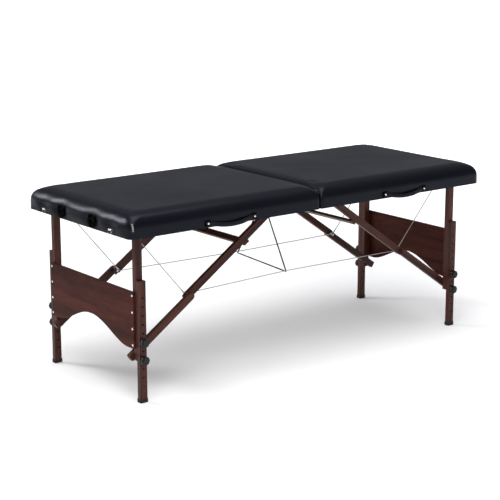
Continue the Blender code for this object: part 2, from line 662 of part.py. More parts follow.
def latch(side_name, side):
    """Suitcase latch on the head end: a base plate with two lugs, and a lever pivoting between them."""
    face = HALF_LEN + GAP
    px, pz = LATCH_PIN
    y = side * LATCH_Y
    plate = box_mesh(-face - 0.0014, -face, y - 0.0110, y + 0.0110, 0.6620, 0.6820)
    lugs = [box_mesh(-face - 0.0062, -face - 0.0010, *sorted((y + s * 0.0110, y + s * 0.0092)),
                     pz - 0.0028, pz + 0.0030) for s in (-1, 1)]
    pin = rod_mesh((px, y - 0.0100, pz), (px, y + 0.0100, pz), 0.0009, 12)
    part('latch_base_' + side_name, boolean(plate, lugs + [pin], 'UNION'), 'chrome')
    w = 0.0088
    shape = [(px - 0.0017, pz - 0.0019), (px + 0.0017, pz - 0.0019), (px + 0.0020, pz + 0.0024),
             (px + 0.0010, pz + 0.0110), (px - 0.0012, pz + 0.0122), (px - 0.0019, pz + 0.0060)]
    lever = prism_mesh([shape, circle(px, pz, 0.0010, 12)], 'Y', y - w, y + w)
    part('latch_lever_' + side_name, lever, 'chrome', (px, y, pz))


def cradle_socket(side_name, side):
    """Collar in the head end that takes one rod of a face cradle."""
    x = -HALF_LEN
    y = side * SOCKET_Y
    disc = rod_mesh((x - GAP, y, SOCKET_Z), (x - 0.0052, y, SOCKET_Z), SOCKET_R, 32)
    neck = rod_mesh((x - 0.001, y, SOCKET_Z), (x + 0.0195, y, SOCKET_Z), SOCKET_BORE + 0.0045, 20)
    bore = rod_mesh((x - 0.02, y, SOCKET_Z), (x + 0.04, y, SOCKET_Z), SOCKET_BORE, 24)
    me = boolean(boolean(disc, [neck], 'UNION'), [bore], 'DIFFERENCE')
    part('cradle_socket_' + side_name, me, 'plastic', smooth=35)


def build():
    for end, h in ENDS:
        cushion(end, h)
        deck(end, h)
        rail_frame(end, h)
        hinge_angle(end, h)
        hinge_rod(end, h)
        centre_hinge(end, h)
        end_panel(end, h)
        cross_bar(end, h)
        carry_handle(end, h)
        for side_name, side in SIDES:
            upper_leg(end, h, side_name, side)
            lower_leg(end, h, side_name, side)
            upper_strut(end, h, side_name, side)
            lower_strut(end, h, side_name, side)
            knee_eye(end, h, side_name, side)
            for level, index in zip(('upper', 'lower'), KNOB_HOLES):
                knob(end, h, side_name, side, level, index)
    for side_name, side in SIDES:
        steel_cable(side_name, side)
        cradle_socket(side_name, side)
        latch(side_name, side)
    elastic_cord()


clear_scene()
PARTS = collection('portable_massage_table')
CUTTERS = collection('cutters')
CUTTERS.hide_render = True
build()
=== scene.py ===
import bpy
import bmesh
import math
from math import cos, hypot, pi, radians, sin
from mathutils import Matrix, Vector, noise
from mathutils.bvhtree import BVHTree


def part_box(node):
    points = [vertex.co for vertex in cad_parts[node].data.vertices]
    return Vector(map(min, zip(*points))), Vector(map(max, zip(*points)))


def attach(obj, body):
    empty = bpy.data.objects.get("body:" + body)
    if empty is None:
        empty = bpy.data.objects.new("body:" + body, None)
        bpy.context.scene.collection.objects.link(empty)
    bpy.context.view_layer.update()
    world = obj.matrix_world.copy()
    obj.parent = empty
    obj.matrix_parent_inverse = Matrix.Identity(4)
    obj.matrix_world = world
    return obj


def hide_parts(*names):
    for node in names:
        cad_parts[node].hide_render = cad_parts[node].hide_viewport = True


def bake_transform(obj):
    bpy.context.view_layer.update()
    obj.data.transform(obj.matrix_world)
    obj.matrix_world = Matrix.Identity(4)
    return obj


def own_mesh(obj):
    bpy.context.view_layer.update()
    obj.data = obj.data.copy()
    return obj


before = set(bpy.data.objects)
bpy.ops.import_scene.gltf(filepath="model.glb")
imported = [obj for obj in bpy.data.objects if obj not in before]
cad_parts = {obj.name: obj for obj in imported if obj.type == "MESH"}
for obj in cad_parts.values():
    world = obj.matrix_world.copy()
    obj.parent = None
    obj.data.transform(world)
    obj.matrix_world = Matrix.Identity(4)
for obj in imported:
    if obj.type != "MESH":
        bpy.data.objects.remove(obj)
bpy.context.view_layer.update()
ENDS = (("head", -1.0), ("foot", 1.0))
SIDES = (("near", -1.0), ("far", 1.0))
SHIFT = Vector((0.00325, 0.0078, 0.0))        # where the table's centre sits in the frame
SLOPE = math.atan2(0.703 - 0.190, 0.847 - 0.105)   # rise of a strut toward the middle of the table
scene = bpy.context.scene


# ---- camera --------------------------------------------------------------------------------
def look_from(azimuth, elevation, distance, target, lens):
    az, el = radians(azimuth), radians(elevation)
    back = Vector((sin(az) * cos(el), -cos(az) * cos(el), sin(el)))
    data = bpy.data.cameras.new("camera")
    data.lens = lens
    data.sensor_width = 36.0
    data.clip_end = 60.0
    ob = bpy.data.objects.new("camera", data)
    scene.collection.objects.link(ob)
    ob.location = target + back * distance
    ob.rotation_euler = (-back).to_track_quat("-Z", "Y").to_euler()
    scene.camera = ob
    return ob


scene.view_settings.view_transform = "Standard"
scene.view_settings.look = "None"
look_from(-38.01, 13.37, 6.215, Vector((-0.0724, 0.0, 0.4294)) + SHIFT, 104.66)


# ---- shading helpers -----------------------------------------------------------------------
class Shade:
    """A material's node tree with short ways to add and join nodes."""

    def __init__(self, name, color, rough, metal=0.0, spec=0.5):
        self.mat = bpy.data.materials.new(name)
        self.mat.use_nodes = True
        self.tree = self.mat.node_tree
        self.bsdf = self.tree.nodes["Principled BSDF"]
        self.bsdf.inputs["Base Color"].default_value = (*color, 1.0)
        self.bsdf.inputs["Roughness"].default_value = rough
        self.bsdf.inputs["Metallic"].default_value = metal
        self.bsdf.inputs["Specular IOR Level"].default_value = spec

    def add(self, kind, **inputs):
        node = self.tree.nodes.new(kind)
        for key, value in inputs.items():
            node.inputs[key.replace("_", " ")].default_value = value
        return node

    def join(self, a, out, b, into):
        self.tree.links.new(a.outputs[out], b.inputs[into])

    def coords(self, scale, turn=(0.0, 0.0, 0.0)):
        tex = self.tree.nodes.new("ShaderNodeTexCoord")
        mapping = self.tree.nodes.new("ShaderNodeMapping")
        mapping.vector_type = "POINT"
        mapping.inputs["Scale"].default_value = scale
        mapping.inputs["Rotation"].default_value = turn
        self.join(tex, "Object", mapping, "Vector")
        return mapping

    def ramp(self, stops):
        node = self.tree.nodes.new("ShaderNodeValToRGB")
        band = node.color_ramp
        while len(band.elements) < len(stops):
            band.elements.new(0.5)
        for element, (at, color) in zip(band.elements, stops):
            element.position = at
            element.color = (*color, 1.0)
        return node

    def bump(self, source, out, strength, distance, normal=None):
        node = self.add("ShaderNodeBump", Strength=strength, Distance=distance)
        self.join(source, out, node, "Height")
        if normal is not None:
            self.join(normal, "Normal", node, "Normal")
        self.join(node, "Normal", self.bsdf, "Normal")
        return node


def vinyl(name, color=(0.0028, 0.0031, 0.0048), rough=0.32, grain=0.20):
    """Satin upholstery vinyl with a fine pebbled grain."""
    s = Shade(name, color, rough, spec=0.14)
    # painted reflection: the blue in the base colour and in the specular tint stands in for the bluish light
    # that the pads mirror
    s.bsdf.inputs["Specular Tint"].default_value = (0.68, 0.76, 1.0, 1.0)
    place = s.coords((1.0, 1.0, 1.0))
    cells = s.add("ShaderNodeTexVoronoi", Scale=620.0)
    cells.feature = "DISTANCE_TO_EDGE"
    fine = s.add("ShaderNodeTexNoise", Scale=240.0, Detail=3.0, Roughness=0.6)
    broad = s.add("ShaderNodeTexNoise", Scale=3.2, Detail=2.0, Roughness=0.5)
    for node in (cells, fine, broad):
        s.join(place, "Vector", node, "Vector")
    low = s.bump(fine, "Fac", grain * 0.5, 0.0004)
    s.bump(cells, "Distance", grain, 0.0005, low)
    mix = s.ramp(((0.30, (rough - 0.035,) * 3), (0.70, (rough + 0.045,) * 3)))
    s.join(broad, "Fac", mix, "Fac")
    s.join(mix, "Color", s.bsdf, "Roughness")
    return s.mat


def wood(name, turn=(0.0, 0.0, 0.0), dark=(0.026, 0.0086, 0.0062), light=(0.090, 0.0300, 0.0210),
         rough=0.36, spec=0.14):
    """Stained hardwood; the grain runs along X of the turned coordinates."""
    s = Shade(name, light, rough, spec=spec)
    place = s.coords((1.0, 1.0, 1.0), turn)
    stretch = s.tree.nodes.new("ShaderNodeMapping")
    stretch.inputs["Scale"].default_value = (3.0, 70.0, 70.0)
    s.join(place, "Vector", stretch, "Vector")
    figure = s.tree.nodes.new("ShaderNodeMapping")
    figure.inputs["Scale"].default_value = (0.9, 13.0, 13.0)
    s.join(place, "Vector", figure, "Vector")
    pores = s.add("ShaderNodeTexNoise", Scale=6.0, Detail=5.0, Roughness=0.62)
    waves = s.add("ShaderNodeTexNoise", Scale=1.6, Detail=6.0, Roughness=0.55, Distortion=0.7)
    s.join(stretch, "Vector", pores, "Vector")
    s.join(figure, "Vector", waves, "Vector")
    mid = tuple((a + b) / 2 for a, b in zip(dark, light))
    tone = s.ramp(((0.32, dark), (0.50, mid), (0.68, light)))
    s.join(waves, "Fac", tone, "Fac")
    streak = s.ramp(((0.36, (0.42, 0.40, 0.40)), (0.55, (1.0, 1.0, 1.0))))
    s.join(pores, "Fac", streak, "Fac")
    mult = s.tree.nodes.new("ShaderNodeMix")
    mult.data_type = "RGBA"
    mult.blend_type = "MULTIPLY"
    mult.inputs["Factor"].default_value = 0.8
    s.tree.links.new(tone.outputs["Color"], mult.inputs[6])
    s.tree.links.new(streak.outputs["Color"], mult.inputs[7])
    s.tree.links.new(mult.outputs[2], s.bsdf.inputs["Base Color"])
    edge = s.tree.nodes.new("ShaderNodeBevel")
    edge.samples = 4
    edge.inputs["Radius"].default_value = 0.0014
    s.bump(pores, "Fac", 0.10, 0.0003, edge)
    return s.mat


def plain(name, color, rough, metal=0.0, spec=0.26, bump=0.0, scale=300.0, bevel=0.0):
    s = Shade(name, color, rough, metal, spec)
    edge = None
    if bevel:
        edge = s.tree.nodes.new("ShaderNodeBevel")
        edge.samples = 4
        edge.inputs["Radius"].default_value = bevel
        s.join(edge, "Normal", s.bsdf, "Normal")
    if bump:
        place = s.coords((1.0, 1.0, 1.0))
        tex = s.add("ShaderNodeTexNoise", Scale=scale, Detail=4.0, Roughness=0.6)
        s.join(place, "Vector", tex, "Vector")
        s.bump(tex, "Fac", bump, 0.0004, edge)
        mix = s.ramp(((0.35, (rough * 0.85,) * 3), (0.65, (min(1.0, rough * 1.15),) * 3)))
        s.join(tex, "Fac", mix, "Fac")
        s.join(mix, "Color", s.bsdf, "Roughness")
    return s.mat


def twisted(name, color, rough, metal, pitch, strands):
    """Laid or braided cord: slanting ridges along the UV length of a tube, with painted shade in the grooves
    between them.
    """
    s = Shade(name, color, rough, metal)
    uv = s.tree.nodes.new("ShaderNodeUVMap")
    mapping = s.tree.nodes.new("ShaderNodeMapping")
    mapping.inputs["Scale"].default_value = (pitch, strands, 1.0)
    mapping.inputs["Rotation"].default_value = (0.0, 0.0, radians(35.0))
    wave = s.add("ShaderNodeTexWave", Scale=1.0, Distortion=0.4)
    s.join(uv, "UV", mapping, "Vector")
    s.join(mapping, "Vector", wave, "Vector")
    s.bump(wave, "Fac", 0.5, 0.0004)
    # painted shade: the grooves between the strands are coloured darker, down to 0.55 of the colour
    tone = s.ramp(((0.0, tuple(c * 0.55 for c in color)), (0.6, color)))
    s.join(wave, "Fac", tone, "Fac")
    s.join(tone, "Color", s.bsdf, "Base Color")
    return s.mat


QUARTER = pi / 2
VINYL = vinyl("black_vinyl")
STRAP = vinyl("strap_vinyl", (0.0050, 0.0050, 0.0060), 0.46, 0.35)
WOOD_UP = wood("walnut_upright", (0.0, QUARTER, 0.0))
WOOD_ACROSS = wood("walnut_across", (0.0, 0.0, QUARTER))
WOOD_LONG = wood("walnut_rail")
PANEL = wood("walnut_panel", (0.0, 0.0, QUARTER), (0.026, 0.0064, 0.0045), (0.071, 0.0172, 0.0115),
             0.44, 0.05)
STEEL = plain("bright_steel", (0.62, 0.62, 0.61), 0.28, 1.0, bump=0.05, scale=420.0, bevel=0.0004)
CHROME = plain("chrome", (0.66, 0.66, 0.68), 0.12, 1.0, bevel=0.0005)
SCREW = plain("screw_metal", (0.74, 0.72, 0.68), 0.24, 1.0, bevel=0.0004)
BLACK_STEEL = plain("black_steel", (0.022, 0.022, 0.024), 0.34, 0.6, bevel=0.0004)
KNOB = plain("knob_plastic", (0.007, 0.007, 0.0075), 0.40, bump=0.08, scale=900.0, bevel=0.0008)
GLOSS = plain("socket_plastic", (0.0015, 0.0015, 0.0018), 0.16, spec=0.045, bevel=0.0012)
RUBBER = plain("rubber", (0.011, 0.011, 0.011), 0.62, bump=0.12, scale=700.0, bevel=0.0010)
# partly its own tone, partly painted shade: the plywood is much darker than its own colour, so it reads as
# shade where it shows between the pads and under the table
PLY = plain("plywood", (0.15, 0.10, 0.058), 0.70, bump=0.1, scale=60.0)
CABLE = twisted("steel_wire", (0.42, 0.41, 0.385), 0.45, 0.4, 330.0, 6.0)
ELASTIC = twisted("elastic_braid", (0.006, 0.006, 0.0065), 0.85, 0.0, 420.0, 8.0)
SEAM = vinyl("seam_vinyl", (0.0040, 0.0040, 0.0052), 0.50, 0.2)
TAG = plain("woven_tag", (0.30, 0.30, 0.31), 0.75, bump=0.3, scale=1500.0)
TAG_EDGE = plain("woven_tag_edge", (0.02, 0.02, 0.022), 0.8, bump=0.3, scale=1500.0)


def paint(node, mat):
    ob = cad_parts[node]
    for i in range(max(1, len(ob.data.materials))):
        if i < len(ob.material_slots):
            ob.material_slots[i].material = mat
        else:
            ob.data.materials.append(mat)


def strut_wood(end, h):
    """Wood with its grain along a strut, which climbs toward the middle of the table."""
    return wood("walnut_strut_" + end, (0.0, -h * SLOPE, 0.0))


for end, h in ENDS:
    along = strut_wood(end, h)
    paint("rail_frame_" + end, WOOD_LONG)
    paint("deck_" + end, PLY)
    paint("end_panel_" + end, PANEL)
    paint("cross_bar_" + end, WOOD_ACROSS)
    for part in ("hinge_angle_", "hinge_rod_", "centre_hinge_"):
        paint(part + end, STEEL)
    for side, s in SIDES:
        tail = "_%s_%s" % (end, side)
        paint("upper_leg" + tail, WOOD_UP)
        paint("lower_leg" + tail, WOOD_UP)
        paint("upper_strut" + tail, along)
        paint("lower_strut" + tail, along)
        paint("foot" + tail, RUBBER)
        paint("knee_eye" + tail, CHROME)
        for level in ("upper", "lower"):
            paint("knob" + tail + "_" + level, KNOB)
for side, s in SIDES:
    paint("latch_base_" + side, CHROME)
    paint("latch_lever_" + side, CHROME)
    paint("cradle_socket_" + side, GLOSS)


# ---- geometry helpers ----------------------------------------------------------------------
def new_object(name, me, mat):
    ob = bpy.data.objects.new(name, me)
    scene.collection.objects.link(ob)
    me.materials.clear()
    me.materials.append(mat)
    return ob


def mesh_from(build, name="piece"):
    bm = bmesh.new()
    build(bm)
    me = bpy.data.meshes.new(name)
    bm.to_mesh(me)
    bm.free()
    return me


def smooth(ob, angle=40.0):
    ob.data.shade_smooth()
    ob.data.set_sharp_from_angle(angle=radians(angle))
    return ob


def apply_modifiers(ob):
    dep = bpy.context.evaluated_depsgraph_get()
    me = bpy.data.meshes.new_from_object(ob.evaluated_get(dep))
    ob.modifiers.clear()
    old = ob.data
    ob.data = me
    bpy.data.meshes.remove(old)
    return ob


def tube(name, points, radius, mat, ring=10):
    """A round cord through the points, with UVs that run along it."""
    pts = [Vector(p) for p in points]
    runs = [0.0]
    for a, b in zip(pts, pts[1:]):
        runs.append(runs[-1] + (b - a).length)

    def build(bm):
        uv = bm.loops.layers.uv.new("UVMap")
        rings = []
        up = Vector((0.0, 1.0, 0.0)) if abs((pts[-1] - pts[0]).normalized().y) < 0.9 else Vector((0, 0, 1.0))
        for i, p in enumerate(pts):
            d = (pts[min(i + 1, len(pts) - 1)] - pts[max(i - 1, 0)]).normalized()
            side = d.cross(up).normalized()
            other = side.cross(d)
            turns = [2 * pi * k / ring for k in range(ring)]
            rings.append([bm.verts.new(p + (side * cos(t) + other * sin(t)) * radius) for t in turns])
        for i in range(len(pts) - 1):
            for k in range(ring):
                n = (k + 1) % ring
                face = bm.faces.new((rings[i][k], rings[i][n], rings[i + 1][n], rings[i + 1][k]))
                for loop, (u, v) in zip(face.loops, ((runs[i], k / ring), (runs[i], (k + 1) / ring),
                                                     (runs[i + 1], (k + 1) / ring), (runs[i + 1], k / ring))):
                    loop[uv].uv = (u, v)
        bm.faces.new(rings[0][::-1])
        bm.faces.new(rings[-1])
        bmesh.ops.recalc_face_normals(bm, faces=bm.faces)
    ob = new_object(name, mesh_from(build, name), mat)
    return smooth(ob, 60.0)


def rod(bm, a, b, r0, r1, segments=20):
    a, b = Vector(a), Vector(b)
    turn = Vector((0, 0, 1)).rotation_difference((b - a).normalized()).to_matrix().to_4x4()
    bmesh.ops.create_cone(bm, cap_ends=True, segments=segments, radius1=r0, radius2=r1,
                          depth=(b - a).length, matrix=Matrix.Translation((a + b) / 2) @ turn)


def between(a, b, count):
    return [Vector(a).lerp(Vector(b), i / count) for i in range(count + 1)]


# ---- padded halves -------------------------------------------------------------------------
ROLL, SEAM_ROLL = 0.050, 0.030               # roll of the outer edges, and beside the centre gap
CORNER = 0.022
SKIRT = 0.0088                               # from the cover in to the rails


def ease(t):
    t = max(0.0, min(1.0, t))
    return t * t * (3 - 2 * t)


def cover_mesh(lo, hi, h, step):
    """Open-bottomed padded cover on a regular grid: flat top, rolled edges, upright skirt."""
    nx, ny = int(round((hi.x - lo.x) / step)), int(round((hi.y - lo.y) / step))
    cx, cy = (lo.x + hi.x) / 2, (lo.y + hi.y) / 2
    hx, hy = (hi.x - lo.x) / 2, (hi.y - lo.y) / 2

    def roll_at(u, v):
        beside_gap = u * h < -0.999
        return SEAM_ROLL + (ROLL - SEAM_ROLL) * ease((abs(v) - 0.75) / 0.25) if beside_gap else ROLL

    def place(u, v, a, drop, inside=1.0):
        """Point of unit square (u, v) on the ring at roll angle a, with its corners rounded."""
        k = 1.0 - sin(a)
        gap_side = SEAM_ROLL + (ROLL - SEAM_ROLL) * ease((abs(v) - 0.75) / 0.25)
        in_lo, in_hi = (gap_side, ROLL) if h > 0 else (ROLL, gap_side)
        x0, x1 = lo.x + in_lo * k, hi.x - in_hi * k
        y0, y1 = lo.y + ROLL * k, hi.y - ROLL * k
        x, y = x0 + (x1 - x0) * (u + 1) / 2, y0 + (y1 - y0) * (v + 1) / 2
        r = (CORNER + ROLL * k * 0.55) * inside * (0.4 if u * h < 0 else 1.0)
        mx, my, ax, ay = (x0 + x1) / 2, (y0 + y1) / 2, (x1 - x0) / 2, (y1 - y0) / 2
        dx, dy = abs(x - mx) - (ax - r), abs(y - my) - (ay - r)
        if dx > 0 and dy > 0:
            s = max(dx, dy) / hypot(dx, dy)
            x = mx + math.copysign(ax - r + dx * s, x - mx)
            y = my + math.copysign(ay - r + dy * s, y - my)
        rad = roll_at(u, v)
        return x, y, hi.z - rad * (1 - cos(a)) - drop

    def build(bm):
        grid = []
        for i in range(nx + 1):
            row = []
            for j in range(ny + 1):
                u, v = -1 + 2 * i / nx, -1 + 2 * j / ny
                near_rim = ease((max(abs(u), abs(v)) - 0.90) / 0.10)
                row.append(bm.verts.new(place(u, v, 0.0, 0.0, near_rim)))
            grid.append(row)
        for i in range(nx):
            for j in range(ny):
                bm.faces.new((grid[i][j], grid[i + 1][j], grid[i + 1][j + 1], grid[i][j + 1]))
        spots = ([(i, 0) for i in range(nx)] + [(nx, j) for j in range(ny)]
                 + [(i, ny) for i in range(nx, 0, -1)] + [(0, j) for j in range(ny, 0, -1)])
        last = [grid[i][j] for i, j in spots]
        levels = [(radians(15.0 * n), 0.0) for n in range(1, 7)]
        levels += [(pi / 2, d) for d in (0.25, 0.5, 0.75, 1.0)]
        for a, down in levels:
            ring = []
            for i, j in spots:
                u, v = -1 + 2 * i / nx, -1 + 2 * j / ny
                x, y, z = place(u, v, a, 0.0)
                z += (lo.z - z) * down
                ring.append(bm.verts.new((x, y, z)))
            for k in range(len(ring)):
                n = (k + 1) % len(ring)
                bm.faces.new((last[k], ring[k], ring[n], last[n]))
            last = ring
        bmesh.ops.recalc_face_normals(bm, faces=bm.faces)
    return mesh_from(build, "cover")


def cushion(end, h):
    lo, hi = (Vector(c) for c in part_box("cushion_" + end))
    top = hi.z
    lo.z, hi.z = lo.z + 0.0003, top - 0.0025
    me = cover_mesh(lo, hi, h, 0.0125)
    ob = new_object("pad_" + end, me, VINYL)
    held = ob.vertex_groups.new(name="held")
    for v in ob.data.vertices:
        low = (v.co.z - lo.z) / (hi.z - lo.z)
        held.add([v.index], 1.0 if low < 0.34 else max(0.0, 0.30 - low * 0.42), "REPLACE")
    settle(ob, held.name)
    shape(ob, lo, hi, top, h)
    sub = ob.modifiers.new("finer", "SUBSURF")
    sub.levels = sub.render_levels = 1
    apply_modifiers(ob)
    lip(ob)
    smooth(ob, 60.0)
    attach(ob, "half_" + end)
    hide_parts("cushion_" + end)
    return ob


def settle(ob, group):
    """Let the cover relax over its foam, which keeps it from moving inwards: light pressure, skirt held."""
    cloth = ob.modifiers.new("cloth", "CLOTH")
    cloth.settings.quality = 6
    cloth.settings.mass = 0.35
    cloth.settings.tension_stiffness = 22
    cloth.settings.compression_stiffness = 22
    cloth.settings.shear_stiffness = 12
    cloth.settings.bending_stiffness = 1.2
    cloth.settings.use_pressure = True
    cloth.settings.uniform_pressure_force = 1.6
    cloth.settings.vertex_group_mass = group
    cloth.settings.effector_weights.gravity = 0.0
    cloth.collision_settings.use_collision = False
    cloth.point_cache.frame_start, cloth.point_cache.frame_end = 1, 14
    before = [(v.co.copy(), v.normal.copy()) for v in ob.data.vertices]
    for number in range(1, 15):
        scene.frame_set(number)
    apply_modifiers(ob)
    scene.frame_set(1)
    for v, (was, outward) in zip(ob.data.vertices, before):
        move = v.co - was
        move -= outward * min(0.0, move.dot(outward))
        v.co = was + move.normalized() * min(move.length, 0.0035)


def shape(ob, lo, hi, top, h):
    """Foam crown, waver along the rolled edges, and the cover's pull at sockets, latches and corners."""
    cx, cy = (lo.x + hi.x) / 2, (lo.y + hi.y) / 2
    hx, hy = (hi.x - lo.x) / 2, (hi.y - lo.y) / 2
    pulls = ((0.1135, 0.046, 1.0), (0.244, 0.040, 0.55), (0.375, 0.050, 0.8))
    for v in ob.data.vertices:
        p = v.co.copy()
        u, w = (p.x - cx) / hx, (p.y - cy) / hy
        height = max(0.0, min(1.0, (p.z - lo.z) / (hi.z - lo.z)))
        outer = u * h
        v.co.z += height ** 3 * 0.0020 * (1 - u ** 4) * (1 - w ** 4)
        rim = max(abs(u), abs(w)) ** 10
        waver = noise.noise(Vector((p.x * 5.0 + h * 9.0, p.y * 5.0, 3.1)))
        v.co.z += height ** 3 * waver * 0.0022 * rim
        slack = 0.0016 * noise.noise(Vector((p.x * 7.0, p.y * 7.0, p.z * 9.0 + h)))
        belly = sin(pi * min(1.0, height * 1.08)) ** 1.2 if height < 0.92 else 0.0
        if outer > 0.93:
            # the end face swells between the places where the cover is pinned down
            pull = 0.0
            if h < 0:
                for at, wide, much in pulls:
                    pull = max(pull, much * math.exp(-((abs(p.y - SHIFT.y) - at) / wide) ** 2))
            else:
                pull = 0.8 * math.exp(-((abs(p.y - SHIFT.y) - 0.375) / 0.05) ** 2)
            swell = (1 - pull) * belly * 0.0050 - pull * belly * 0.0022
            v.co.x += h * (swell + slack * height) * ease((outer - 0.93) / 0.05)
            if h < 0 and abs(w) < 0.8:
                v.co.z -= pull * 0.0030 * height ** 2 * ease((outer - 0.93) / 0.07)
        if abs(w) > 0.90:
            near_end = math.exp(-((abs(p.x - cx) - hx) / 0.06) ** 2)
            swell = (1 - 0.9 * near_end) * belly * 0.0022
            v.co.y += math.copysign((swell + slack * height * 0.8) * ease((abs(w) - 0.90) / 0.08), w)
        if h * v.co.x < h * SHIFT.x + 0.0012:
            v.co.x = SHIFT.x + h * 0.0012
        v.co.z = min(v.co.z, top + 0.002)


def lip(ob):
    """Turn the bottom edge of the cover in to the rails."""
    bm = bmesh.new()
    bm.from_mesh(ob.data)
    rim = [e for e in bm.edges if e.is_boundary]
    xs, ys = [v.co.x for e in rim for v in e.verts], [v.co.y for e in rim for v in e.verts]
    lox, hix, loy, hiy = min(xs), max(xs), min(ys), max(ys)
    out = bmesh.ops.extrude_edge_only(bm, edges=rim)["geom"]
    for v in (g for g in out if isinstance(g, bmesh.types.BMVert)):
        near = min(v.co.x - lox, hix - v.co.x), min(v.co.y - loy, hiy - v.co.y)
        middle = hix if abs(hix) < abs(lox) else lox
        if near[0] < CORNER:
            inset = 0.0014 if abs(v.co.x - middle) < 0.1 else SKIRT
            v.co.x += math.copysign(inset, (lox + hix) / 2 - v.co.x)
        if near[1] < CORNER:
            v.co.y += math.copysign(SKIRT, (loy + hiy) / 2 - v.co.y)
    bmesh.ops.recalc_face_normals(bm, faces=bm.faces)
    bm.to_mesh(ob.data)
    bm.free()


PADS = {end: cushion(end, h) for end, h in ENDS}


# ---- corner seams and tag ------------------------------------------------------------------
def surface(end):
    """The finished cover, ready for finding points on it."""
    return BVHTree.FromObject(PADS[end], bpy.context.evaluated_depsgraph_get())


def corner_seam(end, h, side, s, skin):
    """Welted seam down an outer corner of a pad, over the roll and a little way onto the top."""
    lo, hi = (Vector(c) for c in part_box("cushion_" + end))
    x = hi.x if h > 0 else lo.x
    y = hi.y if s > 0 else lo.y
    inward = Vector((-h, -s, 0.0)).normalized()
    core = Vector((x, y, hi.z - 0.036)) + inward * 0.050
    points = []
    for i in range(9):
        z = lo.z + 0.002 + (core.z - lo.z - 0.002) * i / 8
        points.append((Vector((core.x, core.y, z)) - inward * 0.3, inward))
    for i in range(1, 9):
        a = radians(75.0 * i / 8)
        toward = inward * cos(a) + Vector((0, 0, -sin(a)))
        points.append((core - toward * 0.3, toward))
    path = []
    for start, toward in points:
        place = skin.ray_cast(start, toward)[0]
        if place is not None:
            path.append(place - toward * 0.0001)
    seam = tube("corner_seam_%s_%s" % (end, side), path, 0.0011, SEAM, 8)
    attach(seam, "half_" + end)


def corner_tag(skin):
    """Plain woven tab sewn in beside the near seam of the head end, with a few pale bars."""
    lo, hi = (Vector(c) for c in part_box("cushion_head"))
    x0, x1, z0, z1 = lo.x + 0.0100, lo.x + 0.0190, 0.686, 0.724
    rows = 9

    def on_skin(x, z, off):
        place = skin.ray_cast(Vector((x, lo.y - 0.2, z)), Vector((0, 1, 0)))[0]
        return Vector((x, (place.y if place else lo.y) - off, z))

    def strip(bm, xa, xb, za, zb, off, count):
        grid = [[bm.verts.new(on_skin(xa + (xb - xa) * i, za + (zb - za) * j / count, off)) for i in (0, 1)]
                for j in range(count + 1)]
        for a, b in zip(grid, grid[1:]):
            bm.faces.new((a[0], a[1], b[1], b[0]))
    bars = ((0.006, 0.004), (0.0125, 0.007), (0.022, 0.0045), (0.029, 0.003))
    bars = [(x0 + 0.0026, x1 - 0.0024, z0 + k, z0 + k + n, 2) for k, n in bars]
    for name, mat, spans, off in (("tag_cloth", TAG_EDGE, [(x0, x1, z0, z1, rows)], 0.0010),
                                  ("tag_bars", TAG, bars, 0.0016)):
        def build(bm):
            for xa, xb, za, zb, count in spans:
                strip(bm, xa, xb, za, zb, off, count)
        ob = new_object(name, mesh_from(build, name), mat)
        mod = ob.modifiers.new("thick", "SOLIDIFY")
        mod.thickness = 0.0005
        apply_modifiers(ob)
        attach(ob, "half_head")


for end, h in ENDS:
    skin = surface(end)
    for side, s in SIDES:
        corner_seam(end, h, side, s, skin)
    if end == "head":
        corner_tag(skin)


# ---- carry straps --------------------------------------------------------------------------
def carry_strap(end):
    """Padded strap that sags between two screwed end plates."""
    lo, hi = (Vector(c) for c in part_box("handle_" + end))
    z = 0.678
    pad = 0.0125
    x0, x1 = lo.x + pad, hi.x - pad
    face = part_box("cushion_" + end)[0][1]
    runs, ring = 44, 14

    def build(bm):
        rings = []
        for i in range(runs + 1):
            t = i / runs
            arch = sin(pi * t)
            x = x0 + (x1 - x0) * t
            y = face - 0.0040 - 0.0085 * min(1.0, 1.25 * arch) ** 1.6
            mid = z - 0.0155 * arch ** 1.15
            tall = 0.0100 - 0.0018 * arch
            thick = 0.0024 + 0.0012 * min(1.0, 2.0 * arch)
            row = []
            for k in range(ring):
                a = 2 * pi * k / ring
                ca, sa = cos(a), sin(a)
                row.append(bm.verts.new((x, y + math.copysign(abs(ca) ** 0.75, ca) * thick,
                                         mid + math.copysign(abs(sa) ** 0.75, sa) * tall)))
            rings.append(row)
        for a, b in zip(rings, rings[1:]):
            for k in range(ring):
                n = (k + 1) % ring
                bm.faces.new((a[k], b[k], b[n], a[n]))
        bm.faces.new(rings[0])
        bm.faces.new(rings[-1][::-1])
        bmesh.ops.recalc_face_normals(bm, faces=bm.faces)
    strap = new_object("strap_" + end, mesh_from(build, "strap"), STRAP)
    smooth(strap, 50.0)
    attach(strap, "half_" + end)
    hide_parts("handle_" + end)

    def plates(bm):
        for x in (x0, x1):
            made = bmesh.ops.create_cube(bm, size=1.0)["verts"]
            for v in made:
                v.co = Vector((x + v.co.x * 0.0240, face - 0.0042 + v.co.y * 0.0066, z + v.co.z * 0.0250))
    holder = new_object("strap_plates_" + end, mesh_from(plates, "plates"), GLOSS)
    mod = holder.modifiers.new("round", "BEVEL")
    mod.width, mod.segments = 0.0022, 3
    apply_modifiers(holder)
    smooth(holder, 40.0)
    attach(holder, "half_" + end)

    def screws(bm):
        for x in (x0, x1):
            rod(bm, (x, face - 0.0070, z), (x, face - 0.0086, z), 0.0050, 0.0044)
            rod(bm, (x, face - 0.0085, z), (x, face - 0.0094, z), 0.0044, 0.0028)
    heads = new_object("strap_screws_" + end, mesh_from(screws, "screws"), SCREW)
    smooth(heads, 30.0)
    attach(heads, "half_" + end)


for end, h in ENDS:
    carry_strap(end)


